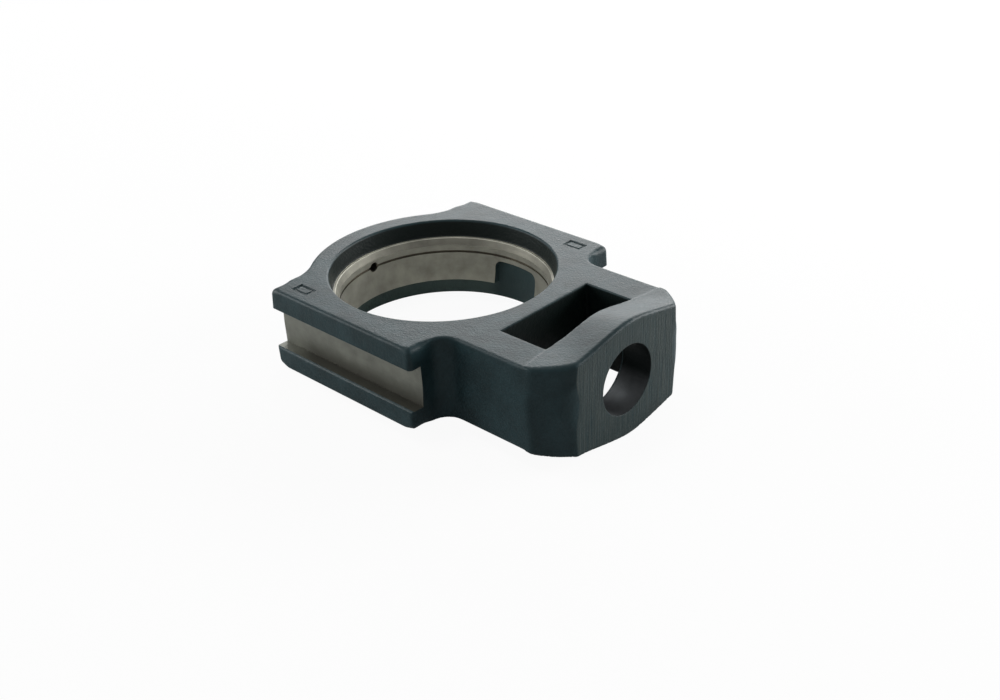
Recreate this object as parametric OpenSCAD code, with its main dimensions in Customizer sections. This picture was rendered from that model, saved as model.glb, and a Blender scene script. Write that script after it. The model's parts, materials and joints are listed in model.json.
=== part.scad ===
// Take-up bearing housing: one casting that slides between two guide rails and holds a bearing insert
// in a spherical seat, with a grease nipple at its round end.
// The origin is the centre of the seat. +X runs along the tension screw to the nose, +Z along the bearing.
// Outer faces lean in from a parting line at mid height, as a mould needs.

/* [Bearing seat] */
// Diameter of the spherical seat
seat_d = 110; // [80:0.5:130]
// Height of the seat along the bearing axis
seat_w = 25.6; // [22:0.2:30]
// How far the cast rims stand back from the seat diameter, on the radius
rim_step = 2.5; // [1.5:0.1:5]
// How much the cast rims open towards the faces, on the radius
rim_flare = 1.1; // [0.5:0.1:2]
// Height of the machined lead-in above the seat
lead_in_h = 3.8; // [2:0.1:5]
// How far the lead-in opens past the seat diameter, on the radius
lead_in_step = 0.8; // [0.4:0.1:1.2]
// Width of the two loading notches
notch_w = 32; // [20:0.5:44]
// Height of the top of the loading notches above the seat centre
notch_top = 1.5; // [0:0.1:3]
// Radius of the upper corners of the loading notches
notch_r = 4; // [2:0.5:8]

/* [Lubrication] */
// Height of the lubrication groove and hole above the seat centre
oil_z = 4.9; // [4:0.1:6]
// Width of the lubrication groove
oil_groove_w = 2; // [1:0.1:3]
// Depth of the lubrication groove behind the seat
oil_groove_depth = 0.8; // [0.4:0.1:1.5]
// Diameter of the lubrication hole
oil_hole_d = 5.5; // [3:0.1:5.6]
// Depth of the spot face under the nipple
spot_depth = 1; // [0.8:0.1:2]
// Diameter of the spot face
spot_d = 13; // [11:0.5:16]

/* [Body] */
// Wall of the ring outside the bore mouth, at the parting line
ring_wall = 11.9; // [9:0.1:18]
// Wall between the bore mouth and the groove floor
side_wall = 7.4; // [5:0.1:14]
// Lean of the cast outer faces, in degrees
draft = 2.5; // [1:0.1:3.5]
// Radius where the ring runs into the ends of the rails
ring_blend_r = 4; // [2:0.5:8]
// Width of the blank marking recesses
mark_w = 7.4; // [4:0.2:9]
// Length of the blank marking recesses
mark_len = 10.5; // [6:0.5:14]
// Depth of the blank marking recesses
mark_depth = 0.7; // [0.3:0.1:1.5]
// Distance of the marking recesses from the bearing axis along the rails
mark_x = 35.8; // [28:0.2:38]

/* [Guide rails] */
// Length of the rails along the sliding direction
rail_len = 102; // [86:1:110]
// Width of the guide groove
groove_w = 22; // [16:0.5:28]
// Depth of the guide groove
groove_depth = 7; // [5:0.5:12]
// Thickness of the lips above and below the groove
lip_t = 11; // [8:0.5:16]
// Radius of the upright corners of the rails
rail_corner_r = 2; // [2:0.5:6]

/* [Nose] */
// Web between the bore mouth and the nut window
bridge = 10.9; // [8:0.1:20]
// Length of the nut window along the screw, at the top
window_len = 28.1; // [20:0.1:40]
// How far the end wall stands back below its upper edge
wall_relief = 3.4; // [1:0.1:5]
// Height above the screw axis where the end wall starts to lean out to its upper edge
relief_z = 12; // [6:0.5:18]
// Width of the nut window
window_w = 63; // [50:0.5:70]
// Wall on each side of the nut window, at the parting line
nose_side_wall = 20; // [14:0.5:24]
// Thickness of the end wall that the screw passes through
end_wall = 19; // [14:0.2:28]
// Diameter of the hole for the tension screw
screw_hole_d = 36; // [20:0.5:42]
// Chamfer of that hole on the window side
screw_chamfer = 2.4; // [0.5:0.1:3]
// Wall of the crown around the screw hole, at the end face
crown_wall = 13; // [10:0.5:16]
// Lean of the crown towards the window, in degrees
crown_lean = 9.4; // [4:0.2:12]
// How far the nose narrows from each side to the end face
corner_cut = 12.5; // [6:0.5:18]
// How much narrower the end face is at its corners than at mid height, on each side
corner_lean = 2.5; // [1:0.1:4]
// How far the corners of the nose swell out past a straight bevel
corner_bulge = 2.5; // [0.5:0.1:3]
// How far the corners of the end face stand above the body
corner_rise = 2.3; // [1:0.1:4]
// Distance from the window to the line where the flat top ends
crease_gap = 1.4; // [0.8:0.1:4]
// Radius in the corner between rail and nose
nose_fillet_r = 9; // [4:0.5:12]

/* [Grease nipple] */
// Diameter of the nipple thread
thread_d = 6.35; // [6:0.05:8]
// Length of the nipple thread
thread_len = 5; // [4:0.5:8]
// Clearance between the thread and its hole, on the radius
thread_gap = 0.05; // [0.02:0.01:0.1]
// Width across the flats of the hexagon
hex_af = 8; // [7:0.5:9]
// Height of the hexagon
hex_h = 3.5; // [2.5:0.5:5]
// Diameter of the neck
neck_d = 4.9; // [4.7:0.1:5.6]
// Length of the neck
neck_h = 2.7; // [1.5:0.1:4]
// Diameter of the head that the grease gun grips
head_d = 6.5; // [6:0.1:7]
// Height of the head
head_h = 4; // [3.5:0.1:5]
// Height of the straight band round the head
grip_h = 0.8; // [0.5:0.1:1]
// Diameter of the flat tip
tip_d = 3.6; // [3:0.1:4]
// Diameter of the check ball
ball_d = 3; // [2.6:0.1:3.2]
// Clearance around the ball in its chamber, on the radius
ball_gap = 0.15; // [0.1:0.01:0.2]
// Clearance between the resting ball and its seat
ball_seat_gap = 0.05; // [0.03:0.01:0.1]
// How far the ball can be pushed in
ball_travel = 1.2; // [0.5:0.1:1.5]
// Diameter of the opening in the tip
orifice_d = 2; // [1.6:0.1:2]
// Length of the opening in the tip
orifice_h = 0.5; // [0.4:0.1:0.8]
// Travel left in the spring when the ball is pushed right in
spring_spare = 2; // [0.5:0.1:3]
// Diameter of the grease passage through the thread
passage_d = 2; // [1.5:0.1:2.2]
// Diameter of the spring wire
wire_d = 0.35; // [0.25:0.05:0.4]
// Number of turns of the spring
spring_turns = 5; // [4:1:8]

/* [Hidden] */
$fn = 96;
hull_fn = 48;
cut = 1;
slice = 0.01;

paint = "#39444a";
zinc = "#c4c3ba";
steel = "#d6d7d8";
spring_steel = "#8d9094";

body_h = groove_w + 2 * lip_t;
half_h = body_h / 2;
taper = half_h * tan(draft);

seat_r = seat_d / 2;
seat_top = seat_w / 2;
lead_in_z = seat_top - lead_in_h;
rim_r = seat_r + rim_step;
mouth_r = rim_r + rim_flare;

ring_r = mouth_r + ring_wall;
groove_y = mouth_r + side_wall;
rail_y = groove_y + groove_depth + groove_w / 2 * tan(draft);
rail_x = rail_len / 2;
mark_y = groove_y - mark_w / 2;

window_x = mouth_r + bridge;
window_end_x = window_x + window_len;
crease_x = window_end_x + crease_gap;
wall_x = window_end_x + wall_relief;
nose_x = wall_x + end_wall;
nose_y = window_w / 2 + nose_side_wall;

end_z = half_h + corner_rise;
crown_r = screw_hole_d / 2 + crown_wall;
crown_root_r = crown_r - (nose_x - window_end_x) * tan(crown_lean);

spot_x = ring_r - spot_depth;
hex_d = hex_af / cos(30);
nipple_h = hex_h + neck_h + head_h;
ball_r = ball_d / 2;
chamber_r = ball_r + ball_gap;
cone_top_z = nipple_h - orifice_h;
cone_h = chamber_r - orifice_d / 2;
cone_z = cone_top_z - cone_h;
ball_z = cone_z + chamber_r - sqrt(2) * (ball_r + ball_seat_gap);

coil_r = chamber_r - wire_d;
coil_inner_r = coil_r - wire_d / 2;
spring_high_z = ball_z - sqrt(ball_r * ball_r - coil_inner_r * coil_inner_r) - wire_d / 2 - ball_seat_gap;
spring_low_z = spring_high_z - spring_turns * wire_d - ball_travel - spring_spare;
chamber_low_z = spring_low_z - wire_d / 2 - ball_seat_gap;

// Upright profile of a cast block, widest at the parting line
module cast_profile(half_w) {
    polygon([
        [half_w, 0], [half_w - taper, half_h], [taper - half_w, half_h],
        [-half_w, 0], [taper - half_w, -half_h], [half_w - taper, -half_h]
    ]);
}

// Round cast post, widest at the parting line
module cast_post(r) {
    for (side = [0, 1])
        mirror([0, 0, side]) cylinder(h = half_h, r1 = r, r2 = r - taper);
}

// Round core of a cast hollow corner, narrowest at the parting line
module corner_core(r) {
    for (side = [0, 1])
        mirror([0, 0, side]) cylinder(h = half_h, r1 = r, r2 = r + taper);
}

// Lays an upright profile across the rails and draws it out along X
module along_x(length) {
    rotate([90, 0, 90]) linear_extrude(length, center = true) children();
}

// Lays an upright profile along the rails and draws it out along Y
module along_y(length) {
    rotate([90, 0, 0]) linear_extrude(length, center = true) children();
}

// A thin slice of the nose at a distance from the seat
module nose_slice(x) {
    translate([x, 0, 0]) along_x(slice) children();
}

// Copies a shape to both sides of the screw axis
module both_sides() {
    for (side = [0, 1])
        mirror([0, side, 0]) children();
}

// Both rails as one block with rounded upright corners
module rail_block() {
    along_x(rail_len - 2 * rail_corner_r) cast_profile(rail_y);
    along_y(2 * (rail_y - rail_corner_r)) cast_profile(rail_x);
    for (sx = [-1, 1], sy = [-1, 1])
        translate([sx * (rail_x - rail_corner_r), sy * (rail_y - rail_corner_r), 0])
            cast_post(rail_corner_r);
}

// Hollow corner between the front of a rail and the side of the nose
module nose_fillet() {
    difference() {
        translate([rail_x - 2 * taper, nose_y - 2 * taper, -half_h])
            cube([nose_fillet_r + 2 * taper, nose_fillet_r + 2 * taper, body_h]);
        translate([rail_x + nose_fillet_r, nose_y + nose_fillet_r, 0]) corner_core(nose_fillet_r);
    }
}

// Hollow corner between the ring and the back of a rail
module ring_blend() {
    core_x = rail_x + ring_blend_r;
    core_y = sqrt(pow(ring_r + ring_blend_r, 2) - core_x * core_x);
    touch_y = core_y * ring_r / (ring_r + ring_blend_r);
    touch_x = core_x * ring_r / (ring_r + ring_blend_r);
    difference() {
        translate([0, 0, -half_h]) linear_extrude(body_h)
            polygon([
                [-core_x, core_y], [-touch_x, touch_y], [taper - touch_x, touch_y - taper],
                [2 * taper - rail_x, touch_y], [2 * taper - rail_x, core_y]
            ]);
        translate([-core_x, core_y, 0]) corner_core(ring_blend_r);
    }
}

// Straight part of the nose, up to the line where the flat top ends
module nose_block() {
    translate([crease_x / 2, 0, 0]) along_x(crease_x) cast_profile(nose_y);
}

// Outline of the nose below the crown, from the crease at t = 0 to the end face at t = 1
module nose_outline(t) {
    bevel = [corner_cut, nose_x - crease_x] / norm([corner_cut, nose_x - crease_x]);
    swell = 4 * t * (1 - t) * corner_bulge;
    half_w = nose_y - t * corner_cut + swell * bevel[1];
    lean = taper + t * (corner_lean - taper);
    z = half_h + t * corner_rise;
    polygon([
        [half_w, 0], [half_w - lean, z], [lean - half_w, z],
        [-half_w, 0], [lean - half_w, -z], [half_w - lean, -z]
    ]);
}

// End of the nose, with corners that swell round from the sides to the end face
module nose_end() {
    steps = 4;
    hull()
        for (i = [0 : steps])
            nose_slice(crease_x + (nose_x - slice / 2 - crease_x) * i / steps) nose_outline(i / steps);
}

// Crown around the screw hole, rising from the window to the end face
module crown() {
    hull() {
        nose_slice(window_end_x - cut) {
            circle(r = crown_root_r, $fn = hull_fn);
            square([window_w - cut, body_h], center = true);
        }
        nose_slice(nose_x - slice / 2) {
            circle(r = crown_r, $fn = hull_fn);
            nose_outline(1);
        }
    }
}

// Everything the mould gives, before the openings
module casting() {
    cast_post(ring_r);
    rail_block();
    nose_block();
    nose_end();
    crown();
    both_sides() nose_fillet();
    both_sides() ring_blend();
}

// Bore of the ring: cast rims on both faces, spherical seat, lead-in and lubrication groove
module bore() {
    lead_in_r = sqrt(seat_r * seat_r - lead_in_z * lead_in_z);
    sphere(r = seat_r, $fn = 2 * $fn);
    for (side = [0, 1])
        mirror([0, 0, side]) rotate_extrude()
            polygon([
                [0, seat_top], [rim_r, seat_top], [mouth_r, half_h], [mouth_r, half_h + cut],
                [0, half_h + cut]
            ]);
    rotate_extrude()
        polygon([
            [0, lead_in_z], [lead_in_r, lead_in_z], [seat_r + lead_in_step, seat_top],
            [seat_r + lead_in_step, seat_top + cut / 2], [0, seat_top + cut / 2]
        ]);
    translate([0, 0, oil_z - oil_groove_w / 2]) cylinder(h = oil_groove_w, r = seat_r + oil_groove_depth);
}

// Notches that let the insert in, open to the lower face
module loading_notches() {
    low_z = -half_h - cut;
    intersection() {
        translate([0, 0, low_z]) cylinder(h = body_h, r = rim_r);
        along_y(2 * mouth_r) {
            translate([-notch_w / 2, low_z]) square([notch_w, notch_top - notch_r - low_z]);
            translate([notch_r - notch_w / 2, low_z]) square([notch_w - 2 * notch_r, notch_top - low_z]);
            for (side = [-1, 1])
                translate([side * (notch_w / 2 - notch_r), notch_top - notch_r]) circle(notch_r);
        }
    }
}

// Guide grooves along both rails
module guide_grooves() {
    both_sides()
        translate([-rail_x - cut, groove_y, -groove_w / 2])
            cube([rail_len + 2 * cut, rail_y - groove_y + cut, groove_w]);
}

// Nut window, with the end wall standing back below its upper edge
module nut_window() {
    reach_z = crown_r + end_z;
    along_y(window_w)
        polygon([
            [window_x, -reach_z], [wall_x, -reach_z], [wall_x, relief_z], [window_end_x, half_h],
            [window_end_x, reach_z], [window_x, reach_z]
        ]);
}

// Hole for the tension screw, chamfered on the window side
module screw_way() {
    hole_x = window_end_x - cut;
    mouth_x = wall_x - cut;
    mouth_h = screw_chamfer + cut;
    translate([hole_x, 0, 0]) rotate([0, 90, 0]) cylinder(h = nose_x - hole_x + cut, d = screw_hole_d);
    translate([mouth_x, 0, 0]) rotate([0, 90, 0])
        cylinder(h = mouth_h, d1 = screw_hole_d + 2 * mouth_h, d2 = screw_hole_d);
}

// Blank recesses for marking, one on each rail
module marking_recesses() {
    for (turn = [0, 180])
        rotate([0, 0, turn])
            translate([mark_x - mark_len / 2, mark_y - mark_w / 2, half_h - mark_depth])
                cube([mark_len, mark_w, mark_depth + cut]);
}

// Moves a shape that stands on Z to the nipple, with Z pointing out of the ring
module at_nipple() {
    translate([-spot_x, 0, oil_z]) rotate([0, -90, 0]) children();
}

// Lubrication hole with the tapped end and the spot face for the nipple
module grease_hole() {
    at_nipple() {
        translate([0, 0, seat_r - spot_x - cut]) cylinder(h = spot_x - seat_r + cut, d = oil_hole_d);
        translate([0, 0, -thread_len]) cylinder(h = thread_len, d = thread_d);
        cylinder(h = spot_depth + cut, d = spot_d);
    }
}

module housing() {
    color(paint) difference() {
        casting();
        bore();
        loading_notches();
        guide_grooves();
        nut_window();
        screw_way();
        marking_recesses();
        grease_hole();
    }
}

// Outside of the nipple above its hexagon: neck, head and tip
module nipple_head() {
    neck_r = neck_d / 2;
    head_r = head_d / 2;
    under_z = hex_h + neck_h;
    grip_z = under_z + head_r - neck_r;
    rotate_extrude()
        polygon([
            [0, hex_h], [neck_r, hex_h], [neck_r, under_z], [head_r, grip_z],
            [head_r, grip_z + grip_h], [tip_d / 2, nipple_h], [0, nipple_h]
        ]);
}

// Inside of the nipple: grease passage, ball chamber, conical ball seat and opening
module nipple_way() {
    rotate_extrude()
        polygon([
            [0, -thread_len - cut], [passage_d / 2, -thread_len - cut], [passage_d / 2, chamber_low_z],
            [chamber_r, chamber_low_z], [chamber_r, cone_z], [orifice_d / 2, cone_top_z],
            [orifice_d / 2, nipple_h + cut], [0, nipple_h + cut]
        ]);
}

module nipple_body() {
    color(zinc) at_nipple() difference() {
        union() {
            translate([0, 0, -thread_len]) cylinder(h = thread_len, d = thread_d - 2 * thread_gap);
            cylinder(h = hex_h, d = hex_d, $fn = 6);
            nipple_head();
        }
        nipple_way();
    }
}

module nipple_ball() {
    color(steel) at_nipple() translate([0, 0, ball_z]) sphere(d = ball_d);
}

// Points of a round wire wound into a coil between two heights
function coil_points(steps, sides, pitch) = [
    for (i = [0 : steps], k = [0 : sides - 1])
        let (
            turn = 360 * spring_turns * i / steps,
            round = 360 * k / sides,
            r = coil_r + wire_d / 2 * cos(round)
        )
        [
            r * cos(turn), r * sin(turn),
            spring_low_z + pitch * turn / 360 + wire_d / 2 * sin(round)
        ]
];

// Faces of a tube of rings, closed at both ends
function tube_faces(steps, sides) = concat(
    [[for (k = [0 : sides - 1]) k]],
    [
        for (i = [0 : steps - 1], k = [0 : sides - 1])
            let (a = i * sides + k, b = i * sides + (k + 1) % sides)
            [a, a + sides, b + sides, b]
    ],
    [[for (k = [sides - 1 : -1 : 0]) steps * sides + k]]
);

module nipple_spring() {
    steps_per_turn = 20;
    steps = steps_per_turn * spring_turns;
    sides = 8;
    pitch = (spring_high_z - spring_low_z) / spring_turns;
    color(spring_steel) at_nipple()
        polyhedron(points = coil_points(steps, sides, pitch), faces = tube_faces(steps, sides));
}

housing();
nipple_body();
nipple_ball();
nipple_spring();
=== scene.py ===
"""Looks of a take-up bearing housing: painted iron casting, machined seat and grooves, grease nipple."""

import json
import math
from functools import partial

import bmesh
import bpy
import numpy as np
from bpy.props import FloatProperty, FloatVectorProperty, IntProperty, PointerProperty
from mathutils import Matrix, Vector


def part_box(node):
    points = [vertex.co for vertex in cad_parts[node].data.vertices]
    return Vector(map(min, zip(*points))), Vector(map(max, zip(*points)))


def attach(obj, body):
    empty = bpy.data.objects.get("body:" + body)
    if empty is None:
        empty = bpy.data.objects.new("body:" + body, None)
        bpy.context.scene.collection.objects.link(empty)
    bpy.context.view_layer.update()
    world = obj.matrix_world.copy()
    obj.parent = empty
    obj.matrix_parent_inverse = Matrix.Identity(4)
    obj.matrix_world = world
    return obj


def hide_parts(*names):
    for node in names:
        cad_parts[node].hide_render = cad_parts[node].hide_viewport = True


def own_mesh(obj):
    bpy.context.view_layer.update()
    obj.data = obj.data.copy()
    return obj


bl_info = {
    "name": "Take-up bearing housing",
    "version": (1, 0, 0),
    "blender": (4, 5, 0),
    "location": "View3D > Sidebar > Take-up",
    "description": "Builds the casting, the grease nipple and the studio of a take-up bearing housing",
    "category": "Object",
}

MM = 0.001
# How far, at least, a tool reaches past the face that it opens
CLEAR = 1 * MM
# Segments round the screw hole and round the drilled holes
SCREW_SEGMENTS = 128
DRILL_SEGMENTS = 72
# Inputs of a Mix node that hold the two colours
MIX_A, MIX_B = 6, 7

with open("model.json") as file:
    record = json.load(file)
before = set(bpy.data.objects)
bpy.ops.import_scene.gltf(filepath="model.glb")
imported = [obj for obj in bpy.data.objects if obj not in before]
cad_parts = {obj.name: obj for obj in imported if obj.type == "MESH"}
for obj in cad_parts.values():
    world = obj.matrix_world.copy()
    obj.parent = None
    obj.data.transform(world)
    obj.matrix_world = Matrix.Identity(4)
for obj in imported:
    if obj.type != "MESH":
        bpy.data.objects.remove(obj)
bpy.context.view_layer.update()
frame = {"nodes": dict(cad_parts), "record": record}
HOUSING_LOW, HOUSING_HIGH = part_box("housing")
NIPPLE_LOW, NIPPLE_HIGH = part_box("nipple_body")
SPRING_LOW, SPRING_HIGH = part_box("nipple_spring")
MOUNTS = {mount["name"]: mount for mount in frame["record"]["mounts"]}
SEAT_DIMS = MOUNTS["bearing_seat"]["dims"]
SCREW_DIMS = MOUNTS["screw_hole"]["dims"]
GROOVE = MOUNTS["guide_groove_far"]
NIPPLE_TIP = MOUNTS["grease_nipple"]["pos_m"]


def linear(hex_colour):
    """Turns an sRGB hex colour into the linear values that Blender uses."""
    channels = [int(hex_colour[i : i + 2], 16) / 255 for i in (1, 3, 5)]
    return [c / 12.92 if c <= 0.04045 else ((c + 0.055) / 1.055) ** 2.4 for c in channels]


def size(name, description, default):
    """A length that the user can change."""
    return FloatProperty(name=name, description=description, default=default, unit="LENGTH", precision=5)


def angle(name, description, degrees):
    """An angle that the user can change."""
    return FloatProperty(name=name, description=description, default=math.radians(degrees), subtype="ANGLE")


def number(name, description, default):
    """A plain number that the user can change."""
    return FloatProperty(name=name, description=description, default=default)


def colour(name, description, default):
    """A colour that the user can change."""
    return FloatVectorProperty(
        name=name, description=description, default=linear(default), subtype="COLOR", size=3, min=0, max=1
    )


class CastingSizes(bpy.types.PropertyGroup):
    """Sizes of the iron casting"""

    half_height: size("Half height", "Half the thickness of the body", 22 * MM)
    ring_radius: size("Ring radius", "Outside of the ring at the parting line", -HOUSING_LOW.x)
    rail_length: size("Rail length", "Length of the rails", GROOVE["dims"]["length_mm"] * MM)
    rail_reach: size("Rail reach", "Half span of the rails at the parting line", HOUSING_HIGH.y + 0.48 * MM)
    rail_corner: size("Rail corner", "Radius of the upright corners at the round end", 2.4 * MM)
    rail_front_corner: size("Rail front corner", "Radius of the upright corners towards the nose", 3.0 * MM)
    ring_blend: size("Ring blend", "Radius where ring and rails meet", 4 * MM)
    nose_reach: size("Nose reach", "Half the width of the nose at the parting line", 51.5 * MM)
    nose_end: size("Nose end", "Distance of the end face from the seat", MOUNTS["end_face"]["pos_m"][0])
    nose_fillet: size("Nose fillet", "Radius in the corner between rail and nose", 9 * MM)
    bevel_x: size("Bevel start", "Where the bevel of the nose meets its side, at mid height", 103 * MM)
    bevel_y: size("Bevel end", "Half width where the bevel meets the end face, at mid height", 41.4 * MM)
    bevel_x_lean: size("Bevel start lean", "Shift of the bevel start off mid height", 1.2 * MM)
    bevel_y_lean: size("Bevel end lean", "Shift inwards of the bevel end off mid height", 3.2 * MM)
    bevel_soft: size("Bevel softness", "How soft the upright edges of the bevel are", 0.8 * MM)
    bevel_bulge: size("Bevel bulge", "How far the bevel swells out above and below mid height", 1.2 * MM)
    swell_soft: size("Swell softness", "How soft the edge of the end face is at mid height", 7 * MM)
    swell_z: size("Swell height", "Height at which the corners of the nose swell most", 2 * MM)
    swell_reach: size("Swell reach", "How far up and down the corners swell", 14 * MM)
    crease_x: size("Crease", "Where the flat top of the nose ends beside the window", 98 * MM)
    crease_turn: number("Crease turn", "How the crease moves on towards the sides", 0.124)
    crease_step: size("Crease step", "Small step up at the crease", 0.5 * MM)
    corner_rise: size("Corner rise", "Rise of the top from the crease to the end face", 1.8 * MM)
    crown_radius: size("Crown radius", "Radius of the crown at the end face", HOUSING_HIGH.z)
    crown_soft: size("Crown softness", "How softly the crown turns over between its flanks", 9.5 * MM)
    ridge_shift: size("Ridge shift", "How far aside the ridge of the crown lies", 3.5 * MM)
    flank_soft: size("Flank softness", "How softly the flanks of the crown run out", 2 * MM)
    crease_soft: size("Crease softness", "How soft the crease on top of the nose is", 0.5 * MM)
    edge: size("Edge", "Rounding of the upper outer edges", 1 * MM)
    nose_edge: size("Nose edge", "Extra rounding of the upper edges round the end of the nose", 1.5 * MM)
    foot_edge: size("Foot edge", "Rounding of the lower outer edges", 0.6 * MM)
    rail_edge: size("Rail edge", "Extra rounding along the upper edges of the rails", 0.4 * MM)
    rail_end_edge: size("Rail end edge", "Further rounding along the upper ends of the rails", 2.0 * MM)
    rail_foot_edge: size("Rail foot edge", "Extra rounding along the lower ends of the rails", 3.4 * MM)
    upper_lip_edge: size("Upper lip edge", "Rounding of the upper lips of the guide grooves", 0.9 * MM)
    lower_lip_edge: size("Lower lip edge", "Rounding of the lower lips of the guide grooves", 2.2 * MM)
    groove_stock: size("Groove stock", "What the casting leaves for milling in the guide grooves", 0.3 * MM)
    window_start: size("Window start", "Wall of the nut window beside the bore", 69.5 * MM)
    window_top: size("Window top", "Upper edge of the end wall", 97.6 * MM)
    relief_z: size("Relief height", "Where the end wall starts to lean out to its upper edge", 12 * MM)
    window_width: size("Window width", "Width of the nut window", 63 * MM)
    window_end: size("Window end", "Inner face of the end wall", MOUNTS["nut_face"]["pos_m"][0])
    window_edge: size("Window edge", "Rounding of the edges of the window", 0.6 * MM)
    screw_radius: size("Screw hole", "Radius of the screw hole", SCREW_DIMS["r_mm"] * MM)
    screw_edge: size("Screw hole edge", "Rounding of the outer edge of the screw hole", 0.7 * MM)
    bore_stock: size("Bore stock", "What the casting leaves for boring in the screw hole", 0.3 * MM)
    screw_chamfer: size("Screw hole chamfer", "Chamfer of the screw hole in the window", 2.4 * MM)
    rim_radius: size("Rim radius", "Radius of the cast rims beside the seat", 57.5 * MM)
    rim_flare: size("Rim flare", "How much the upper rim opens towards its face", 1.1 * MM)
    rim_fillet: size("Rim fillet", "Radius at the foot of the rims", 0.8 * MM)
    mouth_edge: size("Mouth edge", "Rounding of the upper mouth of the bore", 1.3 * MM)
    low_rim_start: size("Lower rim start", "Where the lower rim starts below the seat centre", 12.1 * MM)
    low_rim_flare: size("Lower rim flare", "How much the lower rim opens towards its face", 0.4 * MM)
    low_mouth_edge: size("Lower mouth edge", "Rounding of the lower mouth of the bore", 0.6 * MM)
    notch_width: size("Notch width", "Width of the loading notches", 30 * MM)
    notch_x: size("Notch place", "Middle of the loading notches along the rails", 1.2 * MM)
    notch_top: size("Notch top", "Top of the loading notches above the seat centre", 1.5 * MM)
    notch_corner: size("Notch corner", "Radius of the upper corners of the notches", 4 * MM)
    mark_length: size("Mark length", "Length of the blank marking recesses", 11.6 * MM)
    mark_width: size("Mark width", "Width of the blank marking recesses", 7.2 * MM)
    mark_depth: size("Mark depth", "Depth of the blank marking recesses", 0.65 * MM)
    mark_trench: size("Mark trench", "Width of the trench round the plain pad in the recess", 2 * MM)
    mark_x: size("Mark place along", "Distance of the marking recesses from the bearing axis", 35.8 * MM)
    mark_y: size("Mark place across", "Distance of the marking recesses from the screw axis", 62.6 * MM)
    cell: size("Cell", "Grid step at which the casting is drawn", 0.85 * MM)
    draft: angle("Draft", "Lean of the cast faces", 2.5)
    crown_lean: angle("Crown lean", "Lean of the crown", 11.6)
    crown_slope: angle("Crown slope", "Slope of the crown's flanks", 12.7)


class MachinedSizes(bpy.types.PropertyGroup):
    """Sizes of what is turned, milled and drilled in the casting"""

    seat_radius: size("Seat radius", "Radius of the spherical seat", SEAT_DIMS["r_mm"] * MM)
    seat_width: size("Seat width", "Height of the seat", SEAT_DIMS["length_mm"] * MM)
    lead_in_height: size("Lead-in height", "Height of the lead-in above the seat", 3.8 * MM)
    lead_in_step: size("Lead-in step", "How far the lead-in opens past the seat", 0.8 * MM)
    # How far painted shade reaches up the guide grooves
    painted_shade_height: size("Grime height", "How far the grime reaches up the guide grooves", 11 * MM)
    ledge_edge: size("Ledge edge", "Broken edge between the lead-in and the ledge", 0.2 * MM)
    oil_z: size("Lubrication height", "Height of the lubrication groove and hole", NIPPLE_TIP[2])
    oil_groove_width: size("Lubrication groove width", "Width of the lubrication groove", 1.4 * MM)
    oil_groove_depth: size("Lubrication groove depth", "Depth of the lubrication groove", 0.8 * MM)
    oil_hole_radius: size("Lubrication hole", "Radius of the lubrication hole", 2.75 * MM)
    spot_radius: size("Spot face", "Radius of the spot face under the nipple", 6.5 * MM)
    groove_floor: size("Groove floor", "Distance of the floors from the screw axis", GROOVE["pos_m"][1])
    groove_width: size("Groove width", "Width of the guide grooves", 22 * MM)
    segments: IntProperty(name="Segments", description="Segments round a turned face", default=224, min=24)


class NippleSizes(bpy.types.PropertyGroup):
    """Sizes of the grease nipple and its valve"""

    face_x: size("Spot face", "Where the nipple sits on the ring", -69.5 * MM)
    thread_radius: size("Thread radius", "Outside radius of the thread", 3.12 * MM)
    thread_depth: size("Thread depth", "Depth of the thread", 0.45 * MM)
    thread_pitch: size("Thread pitch", "Pitch of the thread", 0.907 * MM)
    hex_flats: size("Hexagon", "Width across the flats", NIPPLE_HIGH.y - NIPPLE_LOW.y)
    hex_height: size("Hexagon height", "Height of the hexagon", 3.5 * MM)
    hex_chamfer: size("Hexagon chamfer", "Height of the chamfer on the hexagon's corners", 0.45 * MM)
    neck_radius: size("Neck radius", "Radius of the neck", 2.45 * MM)
    neck_height: size("Neck height", "Length of the neck", 2.7 * MM)
    head_radius: size("Head radius", "Radius of the head", MOUNTS["grease_nipple"]["dims"]["r_mm"] * MM)
    tip_radius: size("Tip radius", "Radius of the flat tip", 1.8 * MM)
    chamber_radius: size("Chamber radius", "Radius of the ball chamber", 1.65 * MM)
    orifice_radius: size("Opening radius", "Radius of the opening in the tip", 1 * MM)
    orifice_height: size("Opening height", "Length of the opening in the tip", 0.5 * MM)
    passage_radius: size("Passage radius", "Radius of the grease passage", 1 * MM)
    wire_radius: size("Wire radius", "Radius of the spring wire", 0.175 * MM)
    spring_turns: IntProperty(name="Turns", description="Turns of the spring", default=5, min=2)


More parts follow.
